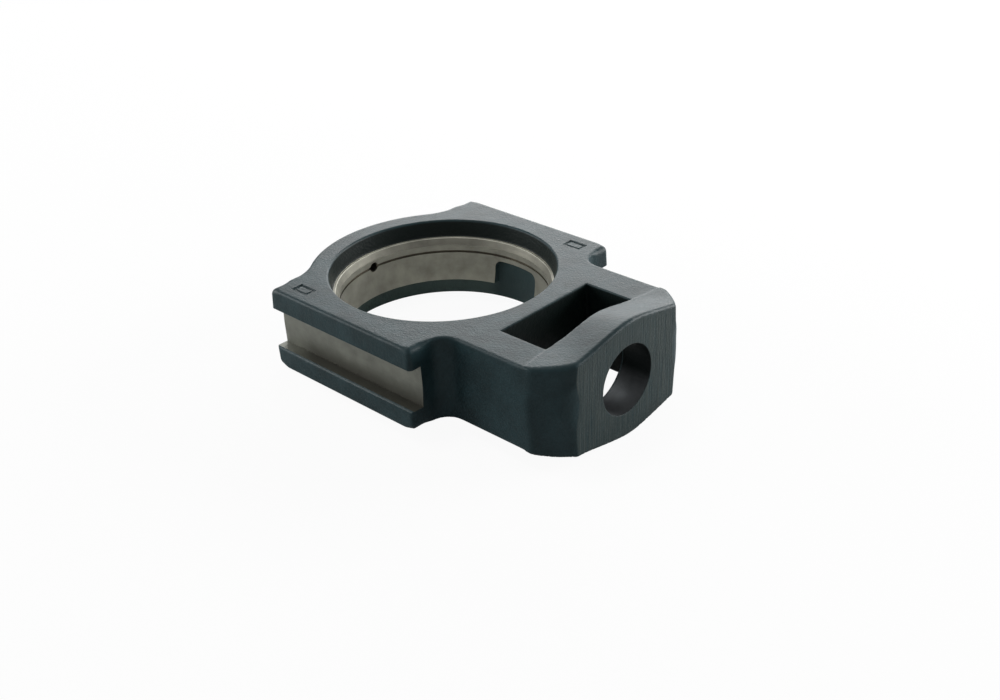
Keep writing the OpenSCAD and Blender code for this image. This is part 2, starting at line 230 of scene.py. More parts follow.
class FinishColours(bpy.types.PropertyGroup):
    """Colours of the finishes"""

    paint: colour("Paint", "Dark slate paint of the casting", "#16272a")
    paint_thin: colour("Thin paint", "Paint where it lies thin on the cast skin", "#22363a")
    # Painted shade in the nut window, on the upper rim of the bore and in the top of the screw hole
    paint_hollow_shade: colour("Pooled paint", "Thick paint in the nut window and on the upper rim", "#0b1413")
    # The next two are lighter coats below the seat that paint in bounce light from the floor, lightest on
    # the rim away from the notches
    paint_bounce_lit: colour("Paint mist", "Paint below the seat, where little of it lands", "#3c4e51")
    paint_most_bounce_lit: colour("Barest paint", "Paint on the lower rim away from the loading notches", "#5c6e6c")
    ground_paint: colour("Ground paint", "Thin paint in the grinding streaks of the end face", "#333c3b")
    turned_iron: colour("Turned iron", "Bare iron of the turned seat", "#aeada1")
    coarse_iron: colour("Coarse iron", "Bare iron of the lead-in, turned with a coarser feed", "#75746b")
    milled_iron: colour("Milled iron", "Bare iron of the milled grooves", "#75776f")
    # Painted shade along the foot of the guide grooves
    painted_shade: colour("Grime", "Oil and dust along the foot of the guide grooves", "#3d3c36")
    # Darker with grease and with painted shade in the lubrication groove and hole
    grease_and_shade_iron: colour("Greased iron", "Lubrication groove and hole, dark with grease", "#6b675c")
    bored_iron: colour("Bored iron", "Bare dark iron in the screw hole", "#4e5153")
    zinc: colour("Zinc", "Zinc plating of the nipple", "#c2c0b4")
    ball_steel: colour("Ball steel", "Polished steel of the check ball", "#c9cacb")
    spring_steel: colour("Spring steel", "Drawn wire of the spring", "#8a8d91")
    floor: colour("Floor", "Studio floor and backdrop", "#ececec")


class StudioSettings(bpy.types.PropertyGroup):
    """Camera and light of the studio"""

    azimuth: angle("Azimuth", "Camera angle round the object", 43.859)
    elevation: angle("Elevation", "Camera angle above it", 29.561)
    roll: angle("Roll", "Camera roll", -2.182)
    distance: size("Distance", "Distance from the camera to its target", 676.8 * MM)
    target: FloatVectorProperty(
        name="Target",
        description="Point the camera looks at",
        default=(0.0201, 0.0190, -0.0285),
        unit="LENGTH",
    )
    lens: number("Lens", "Focal length in millimetres", 45.68)
    sky: number("Sky", "Strength of the light from all round", 0.1)
    back_light: number("Back light", "Power of the softbox behind", 9.8)
    top_light: number("Top light", "Power of the softbox above", 3.3)
    left_light: number("Left light", "Power of the softbox on the left", 22.0)
    side_light: number("Side light", "Power of the softbox at the nose", 17.0)


# Distance fields of the casting

def round_cut(a, b, r):
    """What lies inside both a and b, with the edge between them rounded by r."""
    edge = np.hypot(np.maximum(a + r, 0), np.maximum(b + r, 0))
    return np.minimum(np.maximum(a, b), -r) + edge


def round_join(a, b, r):
    """What lies inside a or b, with the corner between them filled by r."""
    return -round_cut(-a, -b, r)


def soft_high(a, b, k):
    """The higher of a and b, eased over k where they cross."""
    near = np.maximum(k - np.abs(a - b), 0) / k
    return np.maximum(a, b) + near * near * k / 4


def ease(value, low, high):
    """Runs smoothly from 0 at low to 1 at high."""
    t = np.clip((value - low) / (high - low), 0, 1)
    return t * t * (3 - 2 * t)


def upright_walls(s, x, y, z):
    """Distance to the upright cast walls: ring, rails and nose, leaning in with height."""
    side = np.abs(y)
    ring = np.hypot(x, y) - s.ring_radius
    corner = np.where(x > 0, s.rail_front_corner, s.rail_corner)
    rails = round_cut(np.abs(x) - s.rail_length / 2, side - s.rail_reach, corner)
    back = x < -s.rail_length / 4
    body = np.where(back, round_join(ring, rails, s.ring_blend), np.minimum(ring, rails))
    away = ease(np.abs(z - s.swell_z), 0, s.swell_reach)
    start_x = s.bevel_x + s.bevel_x_lean * away
    run_x = s.nose_end - start_x
    run_y = s.nose_reach - s.bevel_y + s.bevel_y_lean * away
    run = np.hypot(run_x, run_y)
    along = np.clip((run_x * (x - start_x) - run_y * (side - s.nose_reach)) / (run * run), 0, 1)
    bevel = (run_y * (x - start_x) + run_x * (side - s.nose_reach)) / run
    bevel = bevel - 4 * along * (1 - along) * s.bevel_bulge * away
    nose = np.maximum(soft_high(side - s.nose_reach, bevel, s.bevel_soft), -x)
    leaning = round_join(body, nose, s.nose_fillet) + np.abs(z) * math.tan(s.draft)
    return soft_high(leaning, x - s.nose_end, s.bevel_soft + (s.swell_soft - s.bevel_soft) * (1 - away))


def top_height(s, x, y):
    """Height of the top of the casting above the parting line: body, wedge of the nose and crown."""
    side = np.abs(y)
    crease = s.crease_x + s.crease_turn * (side - s.window_width / 2)
    step = s.crease_step * ease(x - crease, -s.crease_step, s.crease_step)
    wedge = s.half_height + step + s.corner_rise * (x - crease) / (s.nose_end - s.crease_x)
    radius = s.crown_radius - (s.nose_end - x) * math.tan(s.crown_lean)
    radius = radius - np.maximum(s.window_top - x, 0)
    aside = np.hypot(y - s.ridge_shift, s.crown_soft) - s.crown_soft
    crown = radius - aside * math.tan(s.crown_slope)
    nose = soft_high(wedge, crown, s.flank_soft)
    return soft_high(np.full_like(nose, s.half_height), nose, s.crease_soft)


def casting_field(s, x, y, z):
    """Distance to the casting with its nut window but no bore, negative inside it."""
    side = np.abs(y)
    # The edges of the rails, beyond the fillets of the nose, round off more towards the ends
    end_start = 0.42 * s.rail_length
    rail_start, rail_full = 0.8 * s.nose_fillet, 1.6 * s.nose_fillet
    at_end = ease(np.abs(x), end_start, s.rail_length / 2)
    on_rail = ease(side, s.nose_reach + rail_start, s.nose_reach + rail_full)
    end = at_end * on_rail
    at_nose = ease(x, s.crease_x, s.bevel_x + s.nose_fillet)
    upper_edge = s.edge + s.rail_edge * on_rail + s.rail_end_edge * end + s.nose_edge * at_nose
    edge = np.where(z < 0, s.foot_edge + s.rail_foot_edge * end, upper_edge)
    field = round_cut(upright_walls(s, x, y, z), np.abs(z) - top_height(s, x, y), edge)
    lean = np.clip((z - s.relief_z) / (s.half_height - s.relief_z), 0, 1)
    wall = s.window_end + (s.window_top - s.window_end) * lean
    window = np.maximum(np.maximum(s.window_start - x, x - wall), side - s.window_width / 2)
    return round_cut(field, -window, s.window_edge)


# Mesh tools

def net_surface(field, low, high, cell):
    """Draws the surface where a field is zero: one point in each cell it crosses, one face per edge."""
    axes = [np.arange(a - 2 * cell, b + 3 * cell, cell) for a, b in zip(low, high)]
    grid = np.meshgrid(*axes, indexing="ij", sparse=True)
    value = field(*grid)
    inside = value < 0
    shape = [n - 1 for n in inside.shape]
    corners = [(i, j, k) for i in (0, 1) for j in (0, 1) for k in (0, 1)]

    def corner(array, offset):
        return array[tuple(slice(o, o + n) for o, n in zip(offset, shape))]

    count = sum(corner(inside, c).astype(np.int8) for c in corners)
    crossed = (count > 0) & (count < 8)
    number = np.full(shape, -1, np.int64)
    number[crossed] = np.arange(crossed.sum())
    cells = np.argwhere(crossed)
    points = np.stack([axes[k][cells[:, k]] + cell / 2 for k in range(3)], 1)
    faces = []
    for axis in range(3):
        across, along = [k for k in range(3) if k != axis]
        here = tuple(slice(1, -1) if k != axis else slice(0, -1) for k in range(3))
        after = tuple(slice(1, -1) if k != axis else slice(1, None) for k in range(3))
        leaves = inside[here] & ~inside[after]
        enters = ~inside[here] & inside[after]
        for changed, turned in ((leaves, axis == 1), (enters, axis != 1)):
            base = np.argwhere(changed)
            ring = []
            for da, db in ((0, 0), (1, 0), (1, 1), (0, 1)):
                at = base.copy()
                at[:, across] += da
                at[:, along] += db
                ring.append(number[at[:, 0], at[:, 1], at[:, 2]])
            quad = np.stack(ring, 1)
            faces.append(quad[:, ::-1] if turned else quad)
    return points, np.concatenate(faces)


def settle_on(field, points, cell, rounds=4, flattest=0.25):
    """Moves points along the slope of a distance field until they lie where it is zero."""
    step = 0.02 * cell
    for _ in range(rounds):
        rise = [field(*(points + step * way).T) - field(*(points - step * way).T) for way in np.eye(3)]
        slope = np.stack(rise, 1) / (2 * step)
        steep = np.maximum((slope * slope).sum(1), flattest)
        move = field(*points.T)[:, None] * slope / steep[:, None]
        points = points - np.clip(move, -cell, cell)
    return points


def mesh_piece(name, points, faces):
    """A mesh object at the origin made of points and faces."""
    mesh = bpy.data.meshes.new(name)
    mesh.from_pydata(np.asarray(points).tolist(), [], np.asarray(faces, dtype=object).tolist())
    mesh.validate()
    mesh.shade_smooth()
    piece = bpy.data.objects.new(name, mesh)
    bpy.context.scene.collection.objects.link(piece)
    return piece


def wound(faces, turned):
    """Faces as lists, the other way round if turned."""
    return [list(face[::-1] if turned else face) for face in faces]


def turned_solid(name, profile, segments, matrix=Matrix.Identity(4)):
    """A solid turned round Z, with its profile as (radius, height) from the low end to the high end."""
    angles = np.linspace(0, 2 * math.pi, segments, endpoint=False)
    rings = np.array(profile[1:-1], float)
    points = [(0, 0, profile[0][1])]
    points += [(r * math.cos(a), r * math.sin(a), h) for r, h in rings for a in angles]
    points.append((0, 0, profile[-1][1]))
    last = len(points) - 1
    faces = []
    for k in range(segments):
        after = (k + 1) % segments
        faces.append((0, 1 + after, 1 + k))
        faces.append((last, last - segments + k, last - segments + after))
        for i in range(len(rings) - 1):
            low, high = 1 + i * segments, 1 + (i + 1) * segments
            faces.append((low + k, low + after, high + after, high + k))
    piece = mesh_piece(name, points, faces)
    piece.data.transform(matrix)
    return piece


def cut_away(piece, tools):
    """Cuts tools out of a piece and deletes them. The faces that a tool leaves take its finish."""
    for tool in tools:
        cut = piece.modifiers.new(tool.name, "BOOLEAN")
        cut.operation = "DIFFERENCE"
        cut.solver = "MANIFOLD"
        cut.material_mode = "TRANSFER"
        cut.object = tool
    freeze(piece)
    for tool in tools:
        bpy.data.objects.remove(tool)


def crisp_between_finishes(piece):
    """Keeps the shading of one finish from running over into the next."""
    sketch = bmesh.new()
    sketch.from_mesh(piece.data)
    for edge in sketch.edges:
        if len({face.material_index for face in edge.link_faces}) > 1:
            edge.smooth = False
    sketch.to_mesh(piece.data)
    sketch.free()


def freeze(piece):
    """Turns what the modifiers of a piece give into its plain mesh."""
    shown = piece.evaluated_get(bpy.context.evaluated_depsgraph_get())
    mesh = bpy.data.meshes.new_from_object(shown)
    piece.modifiers.clear()
    piece.data = mesh


# Materials

def feed(node, inputs):
    """Sets inputs of a node to values, or links them to sockets or to the first live output of nodes."""
    for name, value in inputs.items():
        if isinstance(value, bpy.types.Node):
            value = next(socket for socket in value.outputs if socket.enabled)
        if isinstance(value, bpy.types.NodeSocket):
            node.id_data.links.new(value, node.inputs[name])
        else:
            node.inputs[name].default_value = value


def add_node(tree, kind, inputs=None, **settings):
    """Adds a node with its settings and inputs."""
    made = tree.nodes.new(kind)
    for name, value in settings.items():
        setattr(made, name, value)
    feed(made, inputs or {})
    return made


def new_material(name):
    """A material, what adds nodes to it, and its Principled shader."""
    material = bpy.data.materials.new(name)
    material.use_nodes = True
    material.node_tree.nodes.clear()
    add = partial(add_node, material.node_tree)
    shader = add("ShaderNodeBsdfPrincipled")
    add("ShaderNodeOutputMaterial", {"Surface": shader})
    return material, add, shader


def hollow_shade_share(add, place, sizes):
    """How much painted shade darkens the coat: all in the nut window and on the upper rim, none at their
    edges.
    """
    edge, fade = 0.3 * MM, 1.4 * MM
    top = sizes.half_height
    half_x, half_y = (sizes.window_end - sizes.window_start) / 2, sizes.window_width / 2
    middle_x = sizes.window_start + half_x
    rim_width = sizes.rim_flare + sizes.mouth_edge
    x, y, z = add("ShaderNodeSeparateXYZ", {"Vector": place}).outputs
    in_x = add("ShaderNodeMath", {0: x, 1: middle_x, 2: half_x + edge}, operation="COMPARE")
    in_y = add("ShaderNodeMath", {0: y, 1: 0.0, 2: half_y + edge}, operation="COMPARE")
    in_window = add("ShaderNodeMath", {0: in_x, 1: in_y}, operation="MULTIPLY")
    level = add("ShaderNodeMapping", {"Vector": place, "Scale": (1, 1, 0)})
    radius = add("ShaderNodeVectorMath", {0: level}, operation="LENGTH")
    on_rim = add("ShaderNodeMath", {0: radius, 1: sizes.rim_radius, 2: rim_width}, operation="COMPARE")
    hollow = add("ShaderNodeMath", {0: in_window, 1: on_rim}, operation="ADD")
    height = add("ShaderNodeMath", {0: z}, operation="ABSOLUTE")
    return add(
        "ShaderNodeMapRange",
        {"Value": height, "From Min": top - fade, "From Max": top - edge, "To Min": hollow, "To Max": 0.0},
        interpolation_type="SMOOTHSTEP",
    )


def painted_cast_iron(name, full, sparse, colours, sizes, hollow_shade=None, bounce_spread=None):
    """Satin paint on a sand-cast skin: a dark, slightly cool coat that keeps the grain of the sand.

    Hollow shade is the colour of painted shade in the nut window and on the bore's upper rim.
    Bounce spread gives a middle along the rails and the distances from it between which the coat turns to
    its sparse colour, painted bounce light.
    """
    material, add, shader = new_material(name)
    place = add("ShaderNodeTexCoord").outputs["Object"]
    # Grinding streaks, which show through the paint, stand upright on the end face
    upright = add("ShaderNodeMapping", {"Vector": place, "Scale": (1, 1, 0.03)})
    # Place, width of a grain, detail and roughness of each pattern
    patterns = (
        (place, 1.3 * MM, 4, 0.6),
        (place, 7 * MM, 2, 0.5),
        (place, 16 * MM, 4, 0.6),
        (upright, 0.8 * MM, 3, 0.6),
    )
    sand, skin, cloud, streaks = (
        add("ShaderNodeTexNoise", {"Vector": at, "Scale": 1 / width, "Detail": detail, "Roughness": rough})
        for at, width, detail, rough in patterns
    )
    x = add("ShaderNodeSeparateXYZ", {"Vector": place}).outputs["X"]
    inside_end = sizes.nose_end - 0.1 * MM
    on_end = add("ShaderNodeMath", {0: x, 1: inside_end}, operation="GREATER_THAN")
    ground = add("ShaderNodeMath", {0: streaks, 1: on_end}, operation="MULTIPLY")
    rubbed = add("ShaderNodeMapRange", {"Value": ground, "From Min": 0.3, "From Max": 0.62})
    gloss = add("ShaderNodeMapRange", {"Value": sand, "To Min": 0.36, "To Max": 0.5})
    tone = add("ShaderNodeMapRange", {"Value": cloud, "From Min": 0.35, "From Max": 0.7})
    # Painted bounce light: the coat turns lighter away from the middle of a notch
    if bounce_spread:
        middle, near, far = bounce_spread
        uneven = 0.15
        aside = add("ShaderNodeMath", {0: x, 1: middle}, operation="SUBTRACT")
        away = add("ShaderNodeMath", {0: aside}, operation="ABSOLUTE")
        most_bounce_lit = add(
            "ShaderNodeMapRange", {"Value": away, "From Min": near, "From Max": far, "To Max": 1 - uneven},
            interpolation_type="SMOOTHSTEP",
        )
        tone = add("ShaderNodeMath", {0: tone, 1: uneven, 2: most_bounce_lit}, operation="MULTIPLY_ADD")

    # Paint pulls thin on sharp outer edges
    bend = add("ShaderNodeNewGeometry").outputs["Pointiness"]
    worn = add("ShaderNodeMapRange", {"Value": bend, "From Min": 0.54, "From Max": 0.64, "To Max": 0.4})
    thin = add("ShaderNodeMath", {0: tone, 1: worn}, operation="ADD", use_clamp=True)

    coat = (*full, 1)
    layers = [(thin, sparse), (rubbed, colours.ground_paint)]
    # Painted shade darkens the coat in the nut window and on the upper rim
    if hollow_shade:
        layers.insert(1, (hollow_shade_share(add, place, sizes), hollow_shade))
    for share, tint in layers:
        coat = add("ShaderNodeMix", {"Factor": share, MIX_A: coat, MIX_B: (*tint, 1)}, data_type="RGBA")
    # Height, strength and depth of each relief
    reliefs = ((skin, 0.5, 0.25 * MM), (sand, 0.9, 0.22 * MM), (ground, 0.9, 0.3 * MM))
    normal = {}
    for height, strength, depth in reliefs:
        inputs = {"Height": height, "Strength": strength, "Distance": depth, **normal}
        normal = {"Normal": add("ShaderNodeBump", inputs)}
    feed(shader, {"Base Color": coat, "Roughness": gloss, "Specular IOR Level": 0.15, **normal})
    return material


def machined_iron(name, tint, lay, spacing, rough, painted_shade=None, shade_fade=None):
    """Bare grey iron with tool marks: lay stretches the marks along the way the tool went.

    Painted shade is a colour with two heights, the one where it is darkest and the one where it has faded
    out.
    Shade fade gives two places along the rails: the painted shade is gone at the first and whole at the
    second.
    """
    material, add, shader = new_material(name)
    place = add("ShaderNodeTexCoord").outputs["Object"]
    along = add("ShaderNodeMapping", {"Vector": place, "Scale": lay})
    marks = add("ShaderNodeTexNoise", {"Vector": along, "Scale": 1 / spacing, "Detail": 2.0})
    stains = add(
        "ShaderNodeTexNoise", {"Vector": place, "Scale": 1 / (11 * MM), "Detail": 5.0, "Roughness": 0.6}
    )
    patchy = add("ShaderNodeMapRange", {"Value": stains, "From Min": 0.3, "From Max": 0.7})
    layers = [(patchy, tint)]
    if painted_shade:
        shade_colour, darkest_z, faded_z = painted_shade
        x, _, z = add("ShaderNodeSeparateXYZ", {"Vector": place}).outputs
        most = 0.85
        if shade_fade:
            most = add(
                "ShaderNodeMapRange",
                {"Value": x, "From Min": shade_fade[0], "From Max": shade_fade[1], "To Max": most},
                interpolation_type="SMOOTHSTEP",
            )
        share = add(
            "ShaderNodeMapRange",
            {"Value": z, "From Min": darkest_z, "From Max": faded_z, "To Min": most, "To Max": 0.0},
            interpolation_type="SMOOTHSTEP",
        )
        layers.append((share, shade_colour))
    stained = 0.65
    metal = (*[stained * c for c in tint], 1)
    for share, top in layers:
        metal = add("ShaderNodeMix", {"Factor": share, MIX_A: metal, MIX_B: (*top, 1)}, data_type="RGBA")
    gloss = add("ShaderNodeMapRange", {"Value": marks, "To Min": rough - 0.08, "To Max": rough + 0.1})
    bump = add("ShaderNodeBump", {"Height": marks, "Strength": 0.5, "Distance": 0.02 * MM})
    feed(shader, {"Base Color": metal, "Roughness": gloss, "Normal": bump, "Metallic": 0.85})
    return material


def plated_steel(name, tint, rough, spacing):
    """Plated or polished steel: bright metal with a slightly uneven gloss."""
    material, add, shader = new_material(name)
    place = add("ShaderNodeTexCoord").outputs["Object"]
    cloud = add("ShaderNodeTexNoise", {"Vector": place, "Scale": 1 / spacing, "Detail": 4.0})
    dull = (*[0.8 * c for c in tint], 1)
    metal = add("ShaderNodeMix", {"Factor": cloud, MIX_A: dull, MIX_B: (*tint, 1)}, data_type="RGBA")
    gloss = add("ShaderNodeMapRange", {"Value": cloud, "To Min": rough * 0.8, "To Max": rough * 1.3})
    feed(shader, {"Base Color": metal, "Roughness": gloss, "Metallic": 1.0})
    return material


def studio_white(tint):
    """Matt floor that the camera sees as white, metal and glass in part, and that keeps a faint shadow."""
    material, add, shader = new_material("studio_white")
    feed(shader, {"Base Color": (*tint, 1), "Roughness": 0.9, "Specular IOR Level": 0.0})
    output = shader.outputs["BSDF"].links[0].to_node
    glow = add("ShaderNodeEmission", {"Color": (1, 1, 1, 1), "Strength": 1.0})
    ray = add("ShaderNodeLightPath").outputs
    glossy, through = ray["Is Glossy Ray"], ray["Is Transmission Ray"]
    mirrored = add("ShaderNodeMath", {0: glossy, 1: through}, operation="ADD")
    mirrored_share, white_share = 0.12, 0.94
    seen = add(
        "ShaderNodeMath", {0: mirrored, 1: mirrored_share, 2: ray["Is Camera Ray"]},
        operation="MULTIPLY_ADD", use_clamp=True,
    )
    share = add("ShaderNodeMath", {0: seen, 1: white_share}, operation="MULTIPLY")
    feed(output, {"Surface": add("ShaderNodeMixShader", {0: share, 1: shader, 2: glow})})
    return material


# Finishes, cores and tools of the casting

def painted_finishes(cast, colours):
    """The coat outside, and a lighter coat below the seat that paints in bounce light, lightest away from
    the notches.
    """
    paint = painted_cast_iron(
        "painted_cast_iron", colours.paint, colours.paint_thin, colours, cast, colours.paint_hollow_shade
    )
    # The painted bounce light is weakest as far as the side of a notch and strongest 9 mm past it
    near = cast.notch_width / 2 - 1 * MM
    far = cast.notch_width / 2 + 9 * MM
    bounce_lit = painted_cast_iron(
        "thinly_painted_cast_iron", colours.paint_bounce_lit, colours.paint_most_bounce_lit, colours, cast,
        bounce_spread=(cast.notch_x, near, far),
    )
    return paint, bounce_lit


def machined_finishes(cast, work, colours):
    """Bare iron of the turned, coarsely turned, milled, bored and greased faces, with painted shade in the
    grooves, the screw hole and the greased faces.
    """
    # Tool marks run round the bearing axis, round the screw axis, along the rails or no way at all
    round_z, round_x, along_x, even = (0.02, 0.02, 1), (1, 0.05, 0.05), (0.02, 1, 1), (1, 1, 1)
    # Painted shade lies along the foot of the guide grooves and fades out towards the round end
    foot = -work.groove_width / 2
    painted_shade = (colours.painted_shade, foot, foot + work.painted_shade_height)
    shade_fade = (-0.52 * cast.rail_length, -0.22 * cast.rail_length)
    # Painted shade covers the screw hole down to a little below its middle
    hole_shade = (colours.paint_hollow_shade, -4 * MM, -9 * MM)
    return (
        machined_iron("turned_cast_iron", colours.turned_iron, round_z, 0.35 * MM, 0.46),
        machined_iron("coarse_turned_cast_iron", colours.coarse_iron, round_z, 0.6 * MM, 0.6),
        machined_iron("milled_cast_iron", colours.milled_iron, along_x, 0.5 * MM, 0.48, painted_shade, shade_fade),
        machined_iron("bored_cast_iron", colours.bored_iron, round_x, 0.6 * MM, 0.5, hole_shade),
        # Lubrication groove and hole: darker with grease and with painted shade
        machined_iron("greased_cast_iron", colours.grease_and_shade_iron, even, 0.6 * MM, 0.4),
    )


def rim_core(cast, work, side):
    """Core of one cast rim: from the seat to the face, with a rounded mouth."""
    low, flare, lip = work.seat_width / 2, cast.rim_flare, cast.mouth_edge
    if side < 0:
        low, flare, lip = cast.low_rim_start, cast.low_rim_flare, cast.low_mouth_edge
    rim, top, foot = cast.rim_radius, cast.half_height, cast.rim_fillet
    mouth = rim + flare
    bend = np.linspace(0, math.pi / 2, 6)
    # The lip stops short of lying level with the face, so that the cut stays clean
    lip_bend = 0.9 * bend
    profile = [(0, low)]
    profile += [(rim - foot + foot * math.sin(a), low + foot - foot * math.cos(a)) for a in bend]
    profile += [(mouth + lip - lip * math.cos(a), top - lip + lip * math.sin(a)) for a in lip_bend]
    out = profile[-1][0]
    profile += [(out, top + 2 * CLEAR), (0, top + 2 * CLEAR)]
    over = Matrix.Rotation(math.pi if side < 0 else 0, 4, "X")
    return turned_solid(f"rim_core_{side}", profile, work.segments, over)


def notch_core(cast, side):
    """Core of one loading notch: an arch from the lower face up past the middle of the seat."""
    half, r = cast.notch_width / 2, cast.notch_corner
    inner, low = 40 * MM, -cast.half_height - 2 * CLEAR
    bend = np.linspace(0, math.pi / 2, 7)
    left = [(-half + r - r * math.cos(a), cast.notch_top - r + r * math.sin(a)) for a in bend]
    flat = [(x, cast.notch_top) for x in np.linspace(r - half, half - r, 10)[1:-1]]
    arch = left + flat + [(-x, z) for x, z in reversed(left)]
    points = []
    for x, top in arch:
        x = x + cast.notch_x
        deep = math.sqrt(cast.rim_radius**2 - x * x)
        section = ((inner, low), (inner, top), (deep, top), (deep, low))
        points += [(x, side * y, z) for y, z in section]
    last = len(points) - 4
    faces = [(3, 2, 1, 0), (last, last + 1, last + 2, last + 3)]
    for i in range(0, last, 4):
        faces += [(i + k, i + (k + 1) % 4, i + 4 + (k + 1) % 4, i + 4 + k) for k in range(4)]
    return mesh_piece(f"notch_core_{side}", points, wound(faces, side > 0))


def screw_core(cast):
    """Core of the screw hole: chamfered in the window, rounded at the end face."""
    r, lip = cast.screw_radius - cast.bore_stock, cast.screw_edge
    start, back = cast.window_top - 2 * CLEAR, cast.window_end - CLEAR
    wide = cast.screw_radius + cast.screw_chamfer + CLEAR
    inner = cast.window_end + cast.screw_chamfer
    bend = np.linspace(0, 0.45 * math.pi, 6)
    profile = [(0, start), (r, start), (r, back), (wide, back)]
    profile += [(cast.screw_radius, inner), (r, inner + cast.bore_stock)]
    profile += [(r + lip - lip * math.cos(a), cast.nose_end - lip + lip * math.sin(a)) for a in bend]
    out = profile[-1][0]
    profile += [(out, cast.nose_end + 2 * CLEAR), (0, cast.nose_end + 2 * CLEAR)]
    return turned_solid("screw_core", profile, SCREW_SEGMENTS, Matrix.Rotation(math.pi / 2, 4, "Y"))


def screw_bore(cast):
    """Boring tool that opens the screw hole to its size."""
    low, high = cast.window_end, cast.nose_end + 2 * CLEAR
    profile = [(0, low), (cast.screw_radius, low), (cast.screw_radius, high), (0, high)]
    return turned_solid("screw_bore", profile, SCREW_SEGMENTS, Matrix.Rotation(math.pi / 2, 4, "Y"))


def mark_core(cast, side):
    """Blank recess for a casting mark, with sloping sides round a plain pad."""
    slope = 0.4 * MM
    inset = cast.mark_trench
    floor, pad = -cast.mark_depth, -0.4 * cast.mark_depth
    levels = ((CLEAR, slope), (floor, -slope), (floor, slope / 2 - inset), (pad, -inset))
    points = []
    for z, grow in levels:
        half_x, half_y = cast.mark_length / 2 + grow, cast.mark_width / 2 + grow
        points += [
            (side * (cast.mark_x + i * half_x), side * (cast.mark_y + j * half_y), cast.half_height + z)
            for i, j in ((-1, -1), (1, -1), (1, 1), (-1, 1))
        ]
    faces = [(0, 1, 2, 3), (15, 14, 13, 12)]
    for i in (0, 4, 8):
        faces += [(i + (k + 1) % 4, i + k, i + 4 + k, i + 4 + (k + 1) % 4) for k in range(4)]
    return mesh_piece(f"mark_core_{side}", points, faces)


def seat_edge(work):
    """Radius and height of the seat where the lead-in starts."""
    height = work.seat_width / 2 - work.lead_in_height
    return math.sqrt(work.seat_radius**2 - height * height), height


def seat_tool(work):
    """Turning tool for the spherical seat."""
    half = work.seat_width / 2
    edge, height = seat_edge(work)
    bottom = -half - CLEAR
    profile = [(0, bottom)]
    profile += [(math.sqrt(work.seat_radius**2 - z * z), z) for z in np.linspace(bottom, height, 26)]
    profile += [(edge, half + CLEAR), (0, half + CLEAR)]
    return turned_solid("seat_tool", profile, work.segments)


def ledge_tool(cast, work):
    """Facing tool for the ledge between the lead-in and the rim, with a broken edge."""
    broken = work.ledge_edge
    top = work.seat_width / 2 - broken / 2
    step = work.seat_radius + work.lead_in_step
    ledge = cast.rim_radius - CLEAR / 2
    profile = [(0, top - broken), (step, top - broken), (step + broken, top)]
    profile += [(ledge, top), (ledge, top + CLEAR), (0, top + CLEAR)]
    return turned_solid("ledge_tool", profile, work.segments)


def lead_in_tool(work):
    """Turning tool for the cone that leads into the seat."""
    edge, height = seat_edge(work)
    top = work.seat_width / 2 - 1.5 * work.ledge_edge
    step = work.seat_radius + work.lead_in_step
    slope = (step - edge) / (top - height)
    low, high = height - CLEAR, top + 2 * CLEAR
    profile = [(0, low), (edge - slope * (height - low), low), (step, top), (step, high), (0, high)]
    return turned_solid("lead_in_tool", profile, work.segments)


def oil_groove_tool(work):
    """Recessing tool for the lubrication groove round the seat."""
    low = work.oil_z - work.oil_groove_width / 2
    high = work.oil_z + work.oil_groove_width / 2
    deep = work.seat_radius + work.oil_groove_depth
    profile = [(0, low), (deep, low), (deep, high), (0, high)]
    return turned_solid("oil_groove_tool", profile, work.segments)


def hole_drills(cast, work):
    """Counterbore of the spot face, and drill for the lubrication hole and its tapped end."""
    nipple = bpy.context.scene.takeup_nipple
    thread_length, thread_gap = 5 * MM, 0.05 * MM
    face = -nipple.face_x
    tapped = face - thread_length
    wide, hole, thread = work.spot_radius, work.oil_hole_radius, nipple.thread_radius + thread_gap
    inner = work.seat_radius - 3 * CLEAR
    outer = cast.ring_radius + CLEAR
    spot = [(0, face), (wide, face), (wide, outer), (0, outer)]
    drill = [(0, inner), (hole, inner), (hole, tapped), (thread, tapped), (thread, outer), (0, outer)]
    outward = Matrix.Translation((0, 0, work.oil_z)) @ Matrix.Rotation(-math.pi / 2, 4, "Y")
    profiles = {"spot_tool": spot, "hole_drill": drill}
    return [turned_solid(name, shape, DRILL_SEGMENTS, outward) for name, shape in profiles.items()]


def groove_core(cast, work, side):
    """Core of one groove as cast, short of the milled faces, with the lips of the groove rounded."""
    half = work.groove_width / 2 - cast.groove_stock
    face = cast.rail_reach - half * math.tan(cast.draft)
    bend = np.linspace(0, math.pi / 2, 7)

    def lip(r):
        round_ = [(face - r * (1 - math.sin(a)), half + r * (1 - math.cos(a))) for a in bend]
        return [(work.groove_floor + cast.groove_stock, half), *round_, (face + 4 * CLEAR, half + r)]

    outline = lip(cast.upper_lip_edge)[::-1] + [(y, -z) for y, z in lip(cast.lower_lip_edge)]
    return along_rail(f"groove_core_{side}", cast, outline, side)


def groove_cutter(cast, work, side):
    """Milling cutter's way along one rail."""
    half = work.groove_width / 2
    inner, outer = work.groove_floor, cast.rail_reach + 4 * CLEAR
    outline = [(outer, half), (inner, half), (inner, -half), (outer, -half)]
    return along_rail(f"groove_cutter_{side}", cast, outline, side)


def along_rail(name, cast, outline, side):
    """A bar along one rail, with an outline across and up."""
    reach = cast.rail_length / 2 + 4 * CLEAR
    count = len(outline)
    points = [(x, side * y, z) for x in (-reach, reach) for y, z in outline]
    faces = [tuple(range(count)), tuple(range(2 * count - 1, count - 1, -1))]
    faces += [(k, count + k, count + (k + 1) % count, (k + 1) % count) for k in range(count)]
    return mesh_piece(name, points, wound(faces, side > 0))


# Grease nipple

